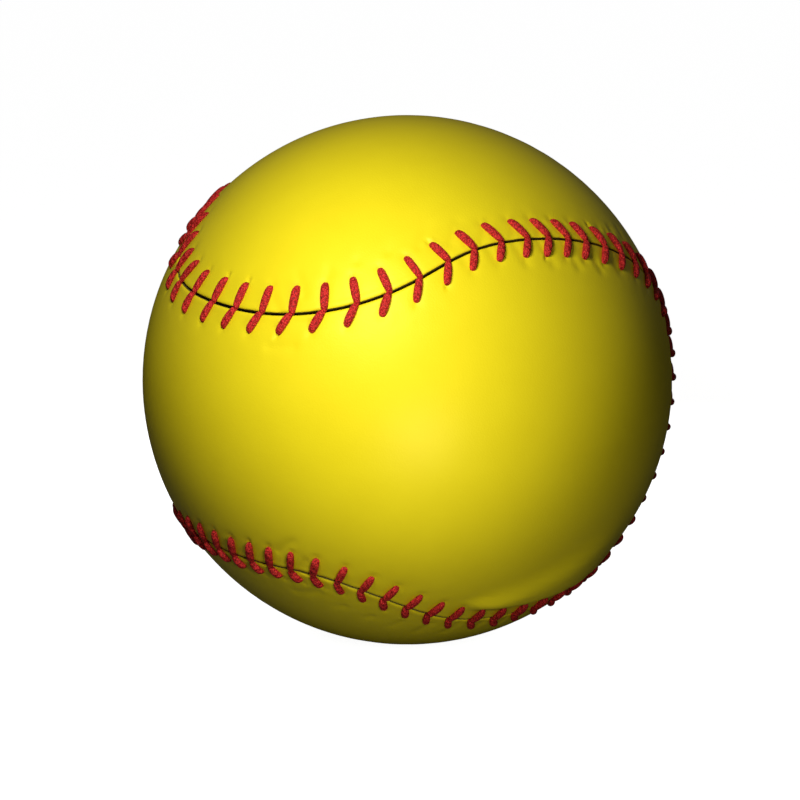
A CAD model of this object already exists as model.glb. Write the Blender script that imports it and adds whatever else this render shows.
# %% [markdown]
# A softball is a wound core inside two pieces of leather, each cut as a figure eight and sewn to the
# other along one endless seam. The solids of the ball are loaded first and never moved. Everything the
# eye meets, the leather and the red thread, is then modelled again over them with its real softness.

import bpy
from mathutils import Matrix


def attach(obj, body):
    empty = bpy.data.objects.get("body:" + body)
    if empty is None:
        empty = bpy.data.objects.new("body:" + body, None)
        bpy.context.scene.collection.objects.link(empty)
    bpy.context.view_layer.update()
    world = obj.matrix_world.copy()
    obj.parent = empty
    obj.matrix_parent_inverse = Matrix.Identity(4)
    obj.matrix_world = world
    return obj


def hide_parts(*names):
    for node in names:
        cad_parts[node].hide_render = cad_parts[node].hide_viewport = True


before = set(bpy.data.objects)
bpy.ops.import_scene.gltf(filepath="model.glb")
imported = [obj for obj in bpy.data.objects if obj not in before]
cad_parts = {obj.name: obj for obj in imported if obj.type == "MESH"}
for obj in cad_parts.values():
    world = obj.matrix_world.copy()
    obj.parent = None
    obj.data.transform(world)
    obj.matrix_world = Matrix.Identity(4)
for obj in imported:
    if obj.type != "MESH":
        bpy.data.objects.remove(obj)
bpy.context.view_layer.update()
print("solids loaded:", sorted(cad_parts))

# %% [markdown]
# The seam is a closed curve on a sphere. It could be drawn as a Bezier curve, but the leather and the
# stitches both need to know where the seam is, which way it runs and what lies to its left. So it is
# kept as a list of directions from the middle of the ball, joined by a smooth closed spline. Lengths
# are in millimetres, and only become Blender's metres when a mesh is made.

# %% Directions and curves on the ball
import math

import numpy as np

MM = 0.001
ball_circumference = 304.8
ball_radius = ball_circumference / (2 * math.pi)


def unit(vectors):
    """The same directions with a length of one."""
    return vectors / np.linalg.norm(vectors, axis=-1, keepdims=True)


def on_ball(longitude, latitude):
    """Direction to a place on the ball. Longitude starts at the front and grows to the right."""
    around = math.radians(longitude)
    height = math.radians(latitude)
    ring = math.cos(height)
    return np.array([ring * math.sin(around), -ring * math.cos(around), math.sin(height)])


def closed_spline(knots, steps):
    """Points of a smooth closed curve through the knots, with a number of steps in each span."""
    count = len(knots)
    ahead = np.roll(knots, -1, axis=0)
    span = np.linalg.norm(ahead - knots, axis=1)
    slope = (ahead - knots) / span[:, None]
    system = np.zeros((count, count))
    for i in range(count):
        system[i, i - 1] = span[i - 1]
        system[i, i] = 2 * (span[i - 1] + span[i])
        system[i, (i + 1) % count] = span[i]
    bend = np.linalg.solve(system, 6 * (slope - np.roll(slope, 1, axis=0)))
    points = []
    for i in range(count):
        j = (i + 1) % count
        done = np.linspace(0, span[i], steps, endpoint=False)[:, None]
        left = span[i] - done
        arch = (bend[i] * left**3 + bend[j] * done**3) / (6 * span[i])
        from_knot = (knots[i] / span[i] - bend[i] * span[i] / 6) * left
        to_knot = (knots[j] / span[i] - bend[j] * span[i] / 6) * done
        points.append(arch + from_knot + to_knot)
    return np.concatenate(points)


print("the ball has a radius of", round(ball_radius, 2), "mm")

# %% The course of the seam
# longitude and latitude in degrees, in the sewing direction
seam_course = [
    (-66, 27.5), (-51, 26.2), (-32, 26), (-13, 29), (2, 34.5), (15, 40), (31, 42), (49, 40),
    (67, 34), (81, 24.5), (88.5, 10), (89.5, -8), (86, -25.5), (74.5, -39.5), (55, -45.5), (33.5, -47),
    (13, -44.5), (-3, -37), (-20, -30), (-40.5, -29), (-61.5, -28.7), (-80.5, -31.3), (-98, -33.5),
    (-116, -35.5), (-134, -39), (-154, -42), (-175, -42), (166, -38), (154, -28), (149, -14),
    (148, 2), (149, 17), (154, 31), (168, 42), (-170, 46.5), (-146, 46), (-123, 42.5),
    (-106, 40.8), (-93.5, 40.3), (-83, 36), (-76, 30.5),
]
steps_per_span = 80

seam_knots = np.array([on_ball(*place) for place in seam_course])
seam_points = closed_spline(seam_knots, steps_per_span)
seam_points = np.concatenate([seam_points, seam_points[:1]])
step_lengths = np.linalg.norm(np.diff(seam_points, axis=0), axis=1)
seam_travel = np.concatenate([[0], np.cumsum(step_lengths)])
seam_length = seam_travel[-1] * ball_radius
seam_share = seam_travel / seam_travel[-1]
seam_tangents = np.gradient(seam_points, axis=0)
seam_tangents[0] = seam_points[1] - seam_points[-2]
seam_tangents[-1] = seam_tangents[0]
print("the seam is", round(seam_length), "mm long")

# %% [markdown]
# What follows the seam needs places beside it, not only on it. At each point the way outwards and the
# way along the seam are known, and their cross product points to the left. With these three arrows any
# place can be named as so many millimetres ahead and so many to the left.

# %% Places beside the seam
right_side = (90, 0)


def along_seam(values, share):
    """Values given along the seam, read at shares of its length."""
    return np.stack([np.interp(share % 1, seam_share, values[:, k]) for k in range(3)], axis=-1)


def beside_seam(share, ahead, left):
    """Directions to places beside the seam, in millimetres ahead of it and to its left."""
    outward = unit(along_seam(seam_points, share))
    tangent = along_seam(seam_tangents, share)
    along = unit(tangent - outward * (tangent * outward).sum(-1, keepdims=True))
    leftward = np.cross(outward, along)
    ahead = np.broadcast_to(ahead, share.shape)[:, None]
    left = np.broadcast_to(left, share.shape)[:, None]
    return unit(outward * ball_radius + along * ahead + leftward * left)


def share_near(longitude, latitude):
    """The share of the seam's length that lies nearest to a place on the ball."""
    return seam_share[np.argmax(seam_points @ on_ball(longitude, latitude))]


print("the seam passes the right side at", round(share_near(*right_side), 3), "of its length")

# %% [markdown]
# Two needles sew the ball. At each stitch both threads come up through holes on either side, cross the
# leather and dive into the seam, so that the legs make a chain of arrowheads. Hand sewing is never
# even: the spacing and the slant drift along the seam, so they are given at a few stations and blended.

# %% Where the stitches are
stitch_count = 102
# the left leg dives this far ahead of the stitch's point, and the right leg as far behind it
apex_stagger = 0.1
LEFT = 1
RIGHT = -1
# share of the stitches sewn so far, then share of the seam's length
stitch_progress = [
    (0, 0), (0.02, 0.026), (0.059, 0.0705), (0.098, 0.114), (0.127, 0.144), (0.157, 0.17),
    (0.196, 0.2095), (0.304, 0.313), (0.353, 0.3595), (0.431, 0.43), (0.461, 0.4555), (0.49, 0.4795),
    (0.539, 0.5215), (0.961, 0.9635), (1, 1),
]
# share of the seam's length, then lag and reach of the left hole and of the right hole
stitch_slant = [
    (0.014, -1.0, 4.7, 0.8, 4.0), (0.03, -0.6, 4.8, 1.5, 3.9), (0.066, -0.6, 5.0, 2.6, 3.3),
    (0.107, 0.2, 4.6, 2.9, 3.3), (0.138, 2.2, 4.2, 1.8, 3.4), (0.178, 2.3, 3.7, 2.1, 3.8),
    (0.351, 2.1, 3.5, 0.2, 4.4), (0.422, 1.6, 2.6, 0.1, 4.6), (0.473, 1.5, 2.6, 1.4, 4.6),
    (0.595, 1.9, 4.1, 1.9, 4.1), (0.93, 1.6, 4.3, 1.7, 4.0), (0.964, 3.0, 5.2, 0.6, 4.0),
    (0.982, 2.0, 5.6, -0.4, 3.8), (0.998, -2.0, 5.2, -0.6, 4.0),
]
sewn, covered = np.array(stitch_progress).T
stitch_share = np.interp(np.arange(stitch_count) / stitch_count, sewn, covered)
stations, left_lag, left_reach, right_lag, right_reach = np.array(stitch_slant).T


def blended(column):
    """One column of the slant, read at every stitch."""
    return np.interp(stitch_share, stations, column, period=1)


holes = {
    LEFT: beside_seam(stitch_share, -blended(left_lag), blended(left_reach)) * ball_radius,
    RIGHT: beside_seam(stitch_share, -blended(right_lag), -blended(right_reach)) * ball_radius,
}
dives = {
    side: beside_seam(stitch_share, side * apex_stagger, 0) * ball_radius for side in (LEFT, RIGHT)
}
print(stitch_count, "stitches,", round(seam_length / stitch_count, 2), "mm apart on average")

# %% [markdown]
# The leather is not a hard shell. Its edge rolls down into the seam, the thread presses a shallow valley
# into it, and where a leg is pulled through its hole the leather puckers: a small crease with a swollen
# flank. Most puckers hardly show, and a few stitches that were pulled tight have a deep one. A bump map
# would draw this, but the outline and the shadows would stay smooth, so it is real relief: one function
# says how far the leather stands off the round at any point.

# %% How hard each stitch was pulled
import random

hand = random.Random(12)
loose_pull = (0.03, 0.2)
tight_pull = {LEFT: 1, RIGHT: 0.8}
tight_stitches = {
    LEFT: [2, 3, 10, 17, 44, 63, 78, 90],
    RIGHT: [5, 10, 14, 36, 50, 69, 84],
}
pucker_pull = {}
for side in (LEFT, RIGHT):
    pucker_pull[side] = np.array([hand.uniform(*loose_pull) for stitch in range(stitch_count)])
    pucker_pull[side][tight_stitches[side]] = tight_pull[side]
print("tight stitches:", {side: len(stitches) for side, stitches in tight_stitches.items()})

# %% Relief of the sewn edge
from mathutils import Vector, noise

valley_depth = 0.15
valley_width = 0.95
pucker_depth = 0.32
pucker_length = 0.6
pucker_width = 0.3
pucker_middle = -0.5 * pucker_length
flank_offset = 2 * pucker_width
flank_width = 1.3 * pucker_width
flank_share = 0.4
crumple_height = 0.03
crumple_size = 2.4


def bell(distance, width):
    """A smooth hump that is one at no distance and fades over the width."""
    return np.exp(-((distance / width) ** 2))


def sewn_relief(points, side):
    """Height of the leather over the round of the ball, in millimetres, from the pull of the thread."""
    leg = (dives[side] - holes[side])[None]
    length = np.linalg.norm(leg, axis=2)
    offset = points[:, None] - holes[side][None]
    along = (offset * leg).sum(2) / length
    across = (np.cross(leg, offset) * unit(holes[side])[None]).sum(2) / length
    beyond = np.clip(-along, 0, None) + np.clip(along - length, 0, None)
    valley = valley_depth * bell(np.hypot(across, beyond).min(1), valley_width)
    reach = bell(along - pucker_middle, pucker_length) * pucker_pull[side]
    crease = (reach * bell(across, pucker_width)).max(1)
    flank = (reach * bell(across - flank_offset, flank_width)).max(1)
    crumple = np.array([noise.noise(Vector(point) / crumple_size) for point in points])
    return crumple_height * crumple - valley - pucker_depth * (crease - flank_share * flank)


print("relief at the first left hole:", sewn_relief(holes[LEFT][:1], LEFT).round(2), "mm")

# %% [markdown]
# Low on the right the front panel was stretched over the core, and a soft crease runs from the seam up
# to the right. Below the crease the leather swells a little before it dips to the stitches. It could be
# pushed up with a sculpting brush, but then it could not be moved or measured. So the crease is an arc
# between two places on the ball, and the swelling is a smooth ramp on one side of it.

# %% A stretched fold
fold_height = 1.3
fold_ramp = 4.5
fold_start = (10, -36.5)
fold_end = (53, -21.7)
# along the arc, as shares of its length: how fast the fold rises, where it ends and how fast it fades
fold_rise_rate = 5
fold_gone = 1.18
fold_fade_rate = 1.8
# beside the seam, in millimetres: where the fold begins and how far it takes to grow
fold_clear = 3
fold_blend = 4


def smooth_step(values):
    """A soft step from zero to one."""
    values = np.clip(values, 0, 1)
    return values * values * (3 - 2 * values)


def stretched_fold(points, from_seam):
    """Height of the swollen leather below the crease, in millimetres."""
    start = on_ball(*fold_start)
    end = on_ball(*fold_end)
    below = -unit(np.cross(start, end))
    ahead = unit(end - start * (start @ end))
    along = np.arctan2(points @ ahead, points @ start) / np.arccos(start @ end)
    ramp = smooth_step(points @ below / fold_ramp)
    ends = smooth_step(along * fold_rise_rate) * smooth_step((fold_gone - along) * fold_fade_rate)
    return fold_height * ramp * ends * smooth_step((from_seam - fold_clear) / fold_blend)


fold_at_holes = stretched_fold(holes[RIGHT], blended(right_reach))
raised_holes = {LEFT: holes[LEFT], RIGHT: holes[RIGHT] * (1 + fold_at_holes / ball_radius)[:, None]}
print("the fold lifts a hole by up to", round(fold_at_holes.max(), 2), "mm")

# %% [markdown]
# Each panel is a figure eight. The trick is to think of it as a sheet of cloth with one long edge, the
# seam, and to gather everything else on to a spine down the middle of the figure. A flat grid is made
# first. Each of its rows is laid as one closed loop: the first on the spine, the next ones outwards to
# the seam, over the rolled edge, down the wall of the gap, and back underneath to the spine again. The
# rows lie close together where the dents are and far apart where the leather is plain.

# %% Rows of a panel
columns_per_stitch = 16
columns = columns_per_stitch * stitch_count
# a little thinner than the solid panel, so that its underside stays clear of the cement
cover_thickness = 1.75
# millimetres from the seam at which the sewn band ends
edge_band = 9.0
# from the spine, at 1, to the sewn band, at 0
face_rows = [1, 0.92, 0.83, 0.74, 0.65, 0.56, 0.47, 0.38, 0.3, 0.23, 0.17, 0.11, 0.055]
# millimetres from the seam
band_rows = [
    edge_band, 8.3, 7.7, 7.1, 6.6, 6.2, 5.9, 5.6, 5.3, 5.0, 4.7, 4.4, 4.1, 3.8, 3.5, 3.2, 2.9, 2.6, 2.3,
    2.0, 1.75, 1.5,
]
# distance from the middle of the gap and height over the round, in millimetres
rolled_edge = [
    (1.25, 0.02), (1.0, 0.035), (0.78, 0.035), (0.59, 0.015), (0.44, -0.03), (0.33, -0.1),
    (0.26, -0.22), (0.21, -0.45), (0.2, -1.0), (0.2, -cover_thickness),
]
# the row of the rolled edge below which the leather is raw
raw_edge_row = 6
raw_from = len(face_rows) + len(band_rows) + raw_edge_row
# underneath: millimetres from the seam, then shares of the way on to the spine
under_band = [3, edge_band]
under_rows = [0.25, 0.5, 0.75, 1]
row_count = len(face_rows) + len(band_rows) + len(rolled_edge) + len(under_band) + len(under_rows)
print("a panel has", row_count, "rows of", columns, "points")

# %% Loops of a panel
# share of each side of the figure eight that is gathered at an end of the spine
spine_gather = 0.12
# millimetres over which the relief fades, towards the plain leather and down the wall of the gap
band_fade = 2
wall_fade = 0.5


def spine_at(spine, share):
    """Directions along a spine that is given by a few places on the ball."""
    places = np.array([on_ball(*place) for place in spine])
    steps = np.linspace(0, 1, len(places))
    return unit(np.stack([np.interp(share, steps, places[:, k]) for k in range(3)], axis=-1))


def between(start, end, share):
    """Directions part of the way round the ball from each start to its end."""
    angle = np.arccos(np.clip((start * end).sum(-1, keepdims=True), -1, 1))
    return (np.sin((1 - share) * angle) * start + np.sin(share * angle) * end) / np.sin(angle)


def panel_rows(side, first_tip, last_tip, spine):
    """The loops of points that make a panel, from its spine out to the seam and back underneath."""
    step = np.arange(columns // 2) / (columns // 2)
    first = share_near(*first_tip)
    last = share_near(*last_tip)
    last = last + (last < first)
    share = np.concatenate([first + (last - first) * step, last + (first + 1 - last) * step])
    down_spine = np.clip((step - spine_gather) / (1 - 2 * spine_gather), 0, 1)
    middle = spine_at(spine, np.concatenate([down_spine, 1 - down_spine]))
    rim = beside_seam(share, 0, side * edge_band)
    folded = 1 if side == RIGHT else 0
    rows = []
    for part in face_rows:
        loop = between(rim, middle, part) * ball_radius
        height = folded * stretched_fold(loop, edge_band)
        rows.append(loop * (1 + height / ball_radius)[:, None])
    for distance in band_rows:
        loop = beside_seam(share, 0, side * distance)
        fade = min(1, (edge_band - distance) / band_fade)
        height = fade * sewn_relief(loop * ball_radius, side)
        height += folded * stretched_fold(loop * ball_radius, distance)
        rows.append(loop * (ball_radius + height)[:, None])
    for distance, rise in rolled_edge:
        loop = beside_seam(share, 0, side * distance)
        fade = np.clip(1 + rise / wall_fade, 0, 1)
        height = rise + fade * sewn_relief(loop * ball_radius, side)
        rows.append(loop * (ball_radius + height)[:, None])
    inside = ball_radius - cover_thickness
    rows += [beside_seam(share, 0, side * distance) * inside for distance in under_band]
    rows += [between(rim, middle, part) * inside for part in under_rows]
    return np.array(rows)


# places that the seam passes at both ends of each figure eight, and the spine between them
front_tips = [(90, -3), (145, 2)]
front_spine = [(50, -4), (10, -5), (-30, -2), (-80, -1), (-130, 5), (-175, 5)]
top_tips = [(-85, -28), (-92, 34)]
top_spine = [(-85, -58), (-60, -84), (117, -62), (117, -25), (117, 25), (117, 62), (-120, 86), (-92, 66)]
front_rows = panel_rows(RIGHT, *front_tips, front_spine)
top_rows = panel_rows(LEFT, *top_tips, top_spine)
highest = np.linalg.norm(front_rows, axis=2).max() - ball_radius
print("the front panel stands up to", round(highest, 2), "mm off the round")

# %% [markdown]
# Now the flat grid is laid. Every vertex of the grid knows its row and its column, and moves to the point
# with the same numbers. The last column falls on the first one and both ends fall on the spine, so
# merging the doubles closes the sheet. The faces of the raw edge and the underside get a second material
# slot while the grid is still flat, because there a row is simply a height.

# %% Lay the grid on the loops
import bmesh
import bpy

merge_distance = 0.0005


def leather_panel(name, rows):
    """A closed leather panel: a flat grid whose rows are laid on loops, with its open sides joined."""
    bm = bmesh.new()
    bmesh.ops.create_grid(bm, x_segments=columns, y_segments=len(rows) - 1, size=0.5)
    for face in bm.faces:
        row = (face.calc_center_median().y + 0.5) * (len(rows) - 1)
        face.material_index = 1 if row > raw_from else 0
    for vert in bm.verts:
        column = round((vert.co.x + 0.5) * columns)
        row = round((vert.co.y + 0.5) * (len(rows) - 1))
        vert.co = Vector(rows[row, column % columns]) * MM
    bmesh.ops.remove_doubles(bm, verts=bm.verts, dist=merge_distance * MM)
    bmesh.ops.recalc_face_normals(bm, faces=bm.faces)
    for face in bm.faces:
        face.smooth = True
    mesh = bpy.data.meshes.new(name)
    bm.to_mesh(mesh)
    open_edges = sum(edge.is_boundary for edge in bm.edges)
    bm.free()
    piece = bpy.data.objects.new(name, mesh)
    bpy.context.scene.collection.objects.link(piece)
    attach(piece, "root")
    print(name, len(mesh.polygons), "faces,", open_edges, "open edges")
    return piece


front_leather = leather_panel("front_leather", front_rows)
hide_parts("cover_panel_a")
top_leather = leather_panel("top_leather", top_rows)
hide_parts("cover_panel_b")

# %% [markdown]
# A leg of a stitch is a short, plump length of waxed thread: thin where it comes up through its hole,
# fat in the middle, and thin again where it is pulled down into the seam. A curve with a bevel would
# give an even tube, so one leg is shaped from a cylinder with a few rings instead. A vector on every
# point keeps the turn round the thread and the distance along it, so that the material can wind its
# strands on the leg.

# %% One leg of a stitch
# for each ring: share of the length, lift of the middle and radius in millimetres
leg_rings = [0, 0.06, 0.17, 0.38, 0.64, 0.86, 0.98, 1.06]
leg_lift = [-0.22, 0, 0.2, 0.28, 0.28, 0.22, 0.12, -0.1]
leg_radius = [0.32, 0.57, 0.73, 0.79, 0.77, 0.68, 0.54, 0.3]
leg_sides = 8
leg_flatness = 0.88


def leg_template():
    """A leg along X from 0 to 1, with its width and height in millimetres."""
    bm = bmesh.new()
    bmesh.ops.create_cone(
        bm, cap_ends=True, segments=leg_sides, radius1=1, radius2=1, depth=1,
    )
    lengthwise = [edge for edge in bm.edges if abs(edge.verts[0].co.z - edge.verts[1].co.z) > 0.5]
    bmesh.ops.subdivide_edges(bm, edges=lengthwise, cuts=len(leg_rings) - 2, use_grid_fill=True)
    twine = bm.verts.layers.float_vector.new("twine")
    for vert in bm.verts:
        ring = round((vert.co.z + 0.5) * (len(leg_rings) - 1))
        turn = vert.co.xy.normalized()
        vert[twine] = (turn.x, turn.y, leg_rings[ring])
        height = leg_lift[ring] + leg_radius[ring] * leg_flatness * turn.y
        vert.co = (leg_rings[ring], leg_radius[ring] * turn.x, height)
    bmesh.ops.recalc_face_normals(bm, faces=bm.faces)
    mesh = bpy.data.meshes.new("leg_template")
    bm.to_mesh(mesh)
    print("a leg has", len(bm.faces), "faces")
    bm.free()
    return mesh


template = leg_template()

# %% [markdown]
# The leg is laid twice at every stitch, once for each thread, and stretched from its hole to the seam.
# A matrix does that: its columns are the way along the leg, the way across it and the way up, and its
# last column is the hole. The swell of each leg differs a little, as in hand sewing, and a subdivision
# modifier rounds them all.

# %% Lay the legs of both threads
from mathutils import Matrix

leg_swell = (0.93, 1.07)


def lay_of_leg(hole, dive, swell):
    """The matrix that lays the template from a hole to the seam."""
    along = dive - hole
    outward = (hole + dive).normalized()
    across = outward.cross(along).normalized()
    up = along.cross(across).normalized()
    lay = Matrix((along, across * swell, up * swell)).transposed().to_4x4()
    lay.translation = hole
    return Matrix.Scale(MM, 4) @ lay


def thread_legs(name, first_side):
    """All the legs of one thread, which changes sides at every stitch."""
    bm = bmesh.new()
    for stitch in range(stitch_count):
        side = first_side if stitch % 2 == 0 else -first_side
        made = len(bm.verts)
        bm.from_mesh(template)
        bm.verts.ensure_lookup_table()
        hole = Vector(raised_holes[side][stitch])
        dive = Vector(dives[side][stitch])
        lay = lay_of_leg(hole, dive, hand.uniform(*leg_swell))
        bmesh.ops.transform(bm, matrix=lay, verts=bm.verts[made:])
    bmesh.ops.recalc_face_normals(bm, faces=bm.faces)
    for face in bm.faces:
        face.smooth = True
    mesh = bpy.data.meshes.new(name)
    bm.to_mesh(mesh)
    bm.free()
    piece = bpy.data.objects.new(name, mesh)
    bpy.context.scene.collection.objects.link(piece)
    rounding = piece.modifiers.new("rounding", "SUBSURF")
    rounding.levels = 1
    rounding.render_levels = 1
    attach(piece, "root")
    print(name, len(mesh.polygons), "faces before rounding")
    return piece


legs_a = thread_legs("thread_legs_a", LEFT)
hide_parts("seam_thread_a")
legs_b = thread_legs("thread_legs_b", RIGHT)
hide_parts("seam_thread_b")

# %% [markdown]
# Every material of the ball has some unevenness: the pores of leather, the fuzz of thread, the clouds
# in dried latex. Each could have textures of its own, but one node group serves them all, with a fine
# grain and a broad drift, and each material places the group with its own scale. It reads object
# coordinates, which stay put on the piece.

# %% A grain that all materials share
drift_scale = 0.05
fuzz_detail = 4
grain_low = 0.08
grain_high = 0.36


def math_node(tree, operation):
    """A new math node in a node tree."""
    node = tree.nodes.new("ShaderNodeMath")
    node.operation = operation
    return node


def grain_group():
    """A node group with a fine grain and a broad drift of tone."""
    group = bpy.data.node_groups.new("grain", "ShaderNodeTree")
    group.interface.new_socket("Scale", in_out="INPUT", socket_type="NodeSocketFloat")
    group.interface.new_socket("Grain", in_out="OUTPUT", socket_type="NodeSocketFloat")
    group.interface.new_socket("Drift", in_out="OUTPUT", socket_type="NodeSocketFloat")
    nodes = group.nodes
    links = group.links
    given = nodes.new("NodeGroupInput")
    result = nodes.new("NodeGroupOutput")
    place = nodes.new("ShaderNodeTexCoord")
    pores = nodes.new("ShaderNodeTexVoronoi")
    fuzz = nodes.new("ShaderNodeTexNoise")
    fuzz.inputs["Detail"].default_value = fuzz_detail
    drift = nodes.new("ShaderNodeTexNoise")
    slow = math_node(group, "MULTIPLY")
    slow.inputs[1].default_value = drift_scale
    mixed = math_node(group, "MULTIPLY")
    spread = nodes.new("ShaderNodeMapRange")
    spread.inputs["From Min"].default_value = grain_low
    spread.inputs["From Max"].default_value = grain_high
    for texture in (pores, fuzz, drift):
        links.new(place.outputs["Object"], texture.inputs["Vector"])
    for texture in (pores, fuzz):
        links.new(given.outputs["Scale"], texture.inputs["Scale"])
    links.new(given.outputs["Scale"], slow.inputs[0])
    links.new(slow.outputs[0], drift.inputs["Scale"])
    links.new(pores.outputs["Distance"], mixed.inputs[0])
    links.new(fuzz.outputs["Fac"], mixed.inputs[1])
    links.new(mixed.outputs[0], spread.inputs["Value"])
    links.new(spread.outputs["Result"], result.inputs["Grain"])
    links.new(drift.outputs["Fac"], result.inputs["Drift"])
    return group


grain = grain_group()
print("the group", grain.name, "has", len(grain.nodes), "nodes")

# %% A material with that grain


def grained_material(name, scale, first_tone, second_tone, roughness, bump_mm, tone_from="Drift"):
    """A material whose colour wanders between two tones, with the shared grain as its bump."""
    material = bpy.data.materials.new(name)
    material.use_nodes = True
    nodes = material.node_tree.nodes
    links = material.node_tree.links
    shader = nodes["Principled BSDF"]
    shader.inputs["Roughness"].default_value = roughness
    texture = nodes.new("ShaderNodeGroup")
    texture.node_tree = grain
    texture.inputs["Scale"].default_value = scale
    tone = nodes.new("ShaderNodeMix")
    tone.data_type = "RGBA"
    tone.inputs["A"].default_value = (*first_tone, 1)
    tone.inputs["B"].default_value = (*second_tone, 1)
    bump = nodes.new("ShaderNodeBump")
    bump.name = "bump"
    bump.inputs["Distance"].default_value = bump_mm * MM
    links.new(texture.outputs[tone_from], tone.inputs["Factor"])
    links.new(tone.outputs["Result"], shader.inputs["Base Color"])
    links.new(texture.outputs["Grain"], bump.inputs["Height"])
    links.new(bump.outputs["Normal"], shader.inputs["Normal"])
    print("made the finish", name)
    return material


# %% [markdown]
# The cover is smooth dyed leather with a thin waxy dressing. Its colour is a strong yellow that leans
# to green, its pores are finer than half a millimetre, and the highlight is wide and soft. The cut edge
# and the underside were never dressed: they are raw and dark with cement, which draws the seam as a
# line. The gap alone could draw it with its shadow, but where the light falls straight in it would be lost.

# %% Dyed leather
leather = grained_material(
    "dyed_leather", scale=3200, first_tone=(0.76, 0.61, 0.008), second_tone=(0.80, 0.65, 0.010),
    roughness=0.45, bump_mm=0.008,
)
leather_shader = leather.node_tree.nodes["Principled BSDF"]
leather_shader.inputs["Specular IOR Level"].default_value = 0.35
leather_shader.inputs["Specular Tint"].default_value = (1, 0.9, 0.35, 1)
raw_leather = grained_material(
    "raw_leather", scale=2000, first_tone=(0.12, 0.092, 0.006), second_tone=(0.17, 0.13, 0.009),
    roughness=0.9, bump_mm=0.03,
)
for piece in (front_leather, top_leather):
    piece.data.materials.append(leather)
    piece.data.materials.append(raw_leather)
print("leather on", front_leather.name, "and", top_leather.name)

# %% [markdown]
# The thread is cotton, twisted from strands and waxed. Seen close, it is a red cord with dark flecks, so
# its tone follows the fine grain. The strands could be modelled, but they are finer than the legs' mesh.
# They wind round each leg as a bump: the angle round the thread and the way along it, both kept on the
# points of the mesh, are added up, and a sine of the sum makes the ridges.

# %% Waxed thread
thread = grained_material(
    "waxed_thread", scale=4200, first_tone=(0.84, 0.036, 0.029), second_tone=(0.26, 0.005, 0.003),
    roughness=0.6, bump_mm=0.1, tone_from="Grain",
)
thread.node_tree.nodes["Principled BSDF"].inputs["Specular IOR Level"].default_value = 0.25


def wind_strands(material, strands, turns, depth_mm):
    """Adds ridges that wind round each leg to the bump of a thread."""
    tree = material.node_tree
    links = tree.links
    twine = tree.nodes.new("ShaderNodeAttribute")
    twine.attribute_name = "twine"
    parts = tree.nodes.new("ShaderNodeSeparateXYZ")
    angle = math_node(tree, "ARCTAN2")
    around = math_node(tree, "MULTIPLY")
    around.inputs[1].default_value = strands
    wound = math_node(tree, "MULTIPLY_ADD")
    wound.inputs[1].default_value = turns * 2 * math.pi
    ridge = math_node(tree, "SINE")
    strand_bump = tree.nodes.new("ShaderNodeBump")
    strand_bump.inputs["Distance"].default_value = depth_mm * MM
    links.new(twine.outputs["Vector"], parts.inputs[0])
    links.new(parts.outputs["Y"], angle.inputs[0])
    links.new(parts.outputs["X"], angle.inputs[1])
    links.new(angle.outputs[0], around.inputs[0])
    links.new(parts.outputs["Z"], wound.inputs[0])
    links.new(around.outputs[0], wound.inputs[2])
    links.new(wound.outputs[0], ridge.inputs[0])
    links.new(ridge.outputs[0], strand_bump.inputs["Height"])
    links.new(strand_bump.outputs["Normal"], tree.nodes["bump"].inputs["Normal"])


wind_strands(thread, strands=2, turns=3, depth_mm=0.06)
for piece in (legs_a, legs_b):
    piece.data.materials.append(thread)
print("thread on", legs_a.name, "and", legs_b.name)

# %% [markdown]
# The layers inside are hidden, apart from a glimpse of latex at the bottom of the seam. They keep the
# shapes of the solids, and each gets a finish of its own so that a ball cut open would look right.

# %% Finishes of the hidden layers
foam = grained_material(
    "core_foam", scale=900, first_tone=(0.70, 0.62, 0.44), second_tone=(0.80, 0.72, 0.54),
    roughness=0.8, bump_mm=0.2,
)
yarn = grained_material(
    "winding_yarn", scale=1500, first_tone=(0.66, 0.63, 0.56), second_tone=(0.84, 0.81, 0.75),
    roughness=0.9, bump_mm=0.3,
)
latex = grained_material(
    "latex", scale=500, first_tone=(0.16, 0.13, 0.07), second_tone=(0.24, 0.20, 0.11),
    roughness=0.6, bump_mm=0.1,
)
cement = grained_material(
    "cement", scale=400, first_tone=(0.62, 0.52, 0.33), second_tone=(0.76, 0.66, 0.46),
    roughness=0.55, bump_mm=0.15,
)
hidden_finishes = {
    "core": foam,
    "core_winding": yarn,
    "latex_coat": latex,
    "cement_bed_a": cement,
    "cement_bed_b": cement,
}
for node, finish in hidden_finishes.items():
    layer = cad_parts[node]
    layer.data.materials.clear()
    layer.data.materials.append(finish)
print("finished layers:", sorted(hidden_finishes))

# %% [markdown]
# The floor is a plain sheet of paper just under the ball. It takes the ball's shadow, and a glow that
# only the camera sees keeps the rest of it white, so it does not have to be flooded with light. For the
# light that bounces the paper is dark, or it would fill in the shaded underside of the ball.

# %% Floor
floor_half = 6.0
paper_glow = 0.92
bounce_tone = 0.1

bm = bmesh.new()
bmesh.ops.create_grid(bm, x_segments=1, y_segments=1, size=floor_half)
bmesh.ops.translate(bm, verts=bm.verts, vec=(0, 0, -ball_radius * MM))
floor_mesh = bpy.data.meshes.new("floor")
bm.to_mesh(floor_mesh)
bm.free()
floor = bpy.data.objects.new("floor", floor_mesh)
bpy.context.scene.collection.objects.link(floor)

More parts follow.
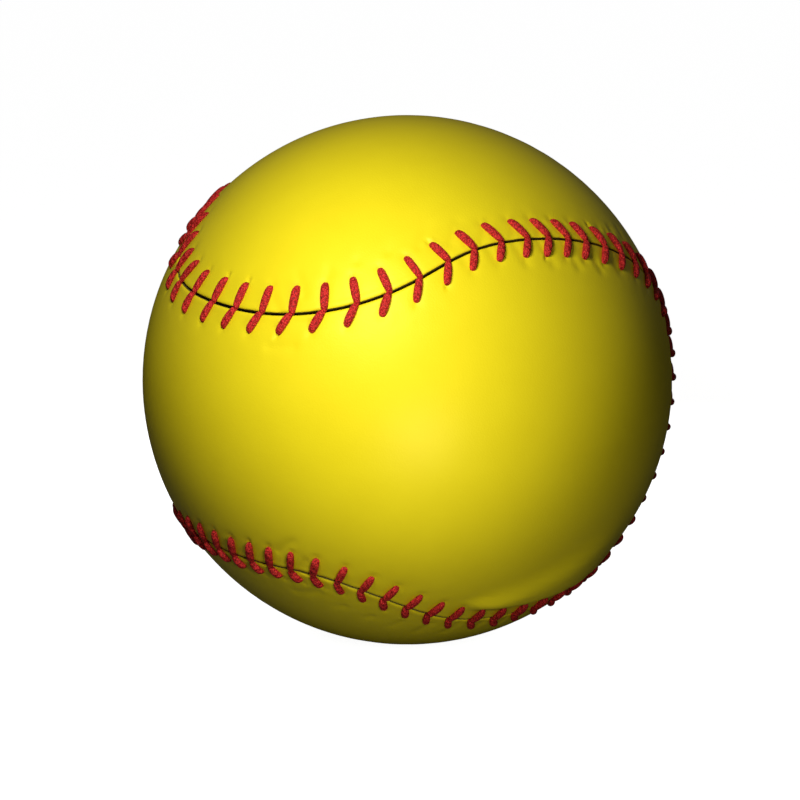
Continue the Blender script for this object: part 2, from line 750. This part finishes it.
paper = bpy.data.materials.new("pale_paper")
paper.use_nodes = True
paper_tree = paper.node_tree
paper_shader = paper_tree.nodes["Principled BSDF"]
paper_shader.inputs["Roughness"].default_value = 1
paper_shader.inputs["Specular IOR Level"].default_value = 0
paper_shader.inputs["Emission Color"].default_value = (1, 1, 1, 1)
seen = paper_tree.nodes.new("ShaderNodeLightPath")
glow = math_node(paper_tree, "MULTIPLY")
glow.inputs[1].default_value = paper_glow
paper_tone = paper_tree.nodes.new("ShaderNodeMix")
paper_tone.data_type = "RGBA"
paper_tone.inputs["A"].default_value = (bounce_tone, bounce_tone, bounce_tone, 1)
paper_tone.inputs["B"].default_value = (1, 1, 1, 1)
paper_tree.links.new(seen.outputs["Is Camera Ray"], paper_tone.inputs["Factor"])
paper_tree.links.new(paper_tone.outputs["Result"], paper_shader.inputs["Base Color"])
paper_tree.links.new(seen.outputs["Is Camera Ray"], glow.inputs[0])
paper_tree.links.new(glow.outputs[0], paper_shader.inputs["Emission Strength"])
floor_mesh.materials.append(paper)
print("floor at", round(-ball_radius, 2), "mm")

# %% [markdown]
# The world is white where the camera looks past the floor. For the ball it is only a faint even light,
# which keeps the shaded parts from going black and leaves the modelling to the lamps.

# %% World
room_light = 0.075
world = bpy.data.worlds.new("studio")
world.use_nodes = True
bpy.context.scene.world = world
sky = world.node_tree.nodes["Background"]
sky_seen = world.node_tree.nodes.new("ShaderNodeLightPath")
sky_level = world.node_tree.nodes.new("ShaderNodeMapRange")
sky_level.inputs["To Min"].default_value = room_light
sky_level.inputs["To Max"].default_value = 1
sky.inputs["Color"].default_value = (1, 1, 1, 1)
world.node_tree.links.new(sky_seen.outputs["Is Camera Ray"], sky_level.inputs["Value"])
world.node_tree.links.new(sky_level.outputs["Result"], sky.inputs["Strength"])
print("the room lights the ball at", room_light)

# %% [markdown]
# The picture was lit from close to the camera, a little above it and to its left, so the ball is bright
# in front and falls off to dark edges. A far lamp would light half the ball evenly. A lamp that stands
# only three ball radii from the middle lights a smaller part and falls off fast. A weak one low in front
# gives the second soft highlight, and one behind the ball lights the far side for anyone who walks round.

# %% Lamps


def soft_lamp(name, toward, radii, size, power):
    """A round area lamp in a direction from the ball, some ball radii away, turned to face it."""
    lamp = bpy.data.lights.new(name, "AREA")
    lamp.shape = "DISK"
    lamp.size = size
    lamp.energy = power
    stand = bpy.data.objects.new(name, lamp)
    bpy.context.scene.collection.objects.link(stand)
    stand.location = Vector(toward).normalized() * (radii * ball_radius * MM)
    stand.visible_camera = False
    stand.rotation_mode = "QUATERNION"
    stand.rotation_quaternion = Vector(toward).to_track_quat("Z", "Y")
    print(name, "shines with", power, "W")
    return stand


soft_lamp("key_lamp", toward=(-0.2, -0.766, 0.611), radii=3.0, size=0.05, power=0.134)
soft_lamp("low_lamp", toward=(0.07, -0.997, -0.04), radii=2.4, size=0.03, power=0.028)
back_lamp = soft_lamp("back_lamp", toward=(0, 0.998, 0.06), radii=3.2, size=0.08, power=0.1)
back_lamp.visible_glossy = False

# %% [markdown]
# The camera stands eight ball radii away and looks down by fifteen degrees. A ball that is a little off
# the middle of the picture would be stretched if the camera were turned, so the lens is shifted instead.

# %% Camera
camera_rise = math.radians(15)
camera_radii = 8
camera_distance = camera_radii * ball_radius * MM
camera_data = bpy.data.cameras.new("camera")
camera_data.lens = 94.58
camera_data.sensor_width = 36
camera_data.shift_x = -0.0091
camera_data.shift_y = -0.0253
camera = bpy.data.objects.new("camera", camera_data)
bpy.context.scene.collection.objects.link(camera)
toward_camera = Vector((0, -math.cos(camera_rise), math.sin(camera_rise)))
camera.location = toward_camera * camera_distance
camera.rotation_mode = "QUATERNION"
camera.rotation_quaternion = toward_camera.to_track_quat("Z", "Y")
bpy.context.scene.camera = camera
bpy.context.scene.view_settings.view_transform = "Standard"
print("camera", round(camera_distance, 3), "m from the ball")
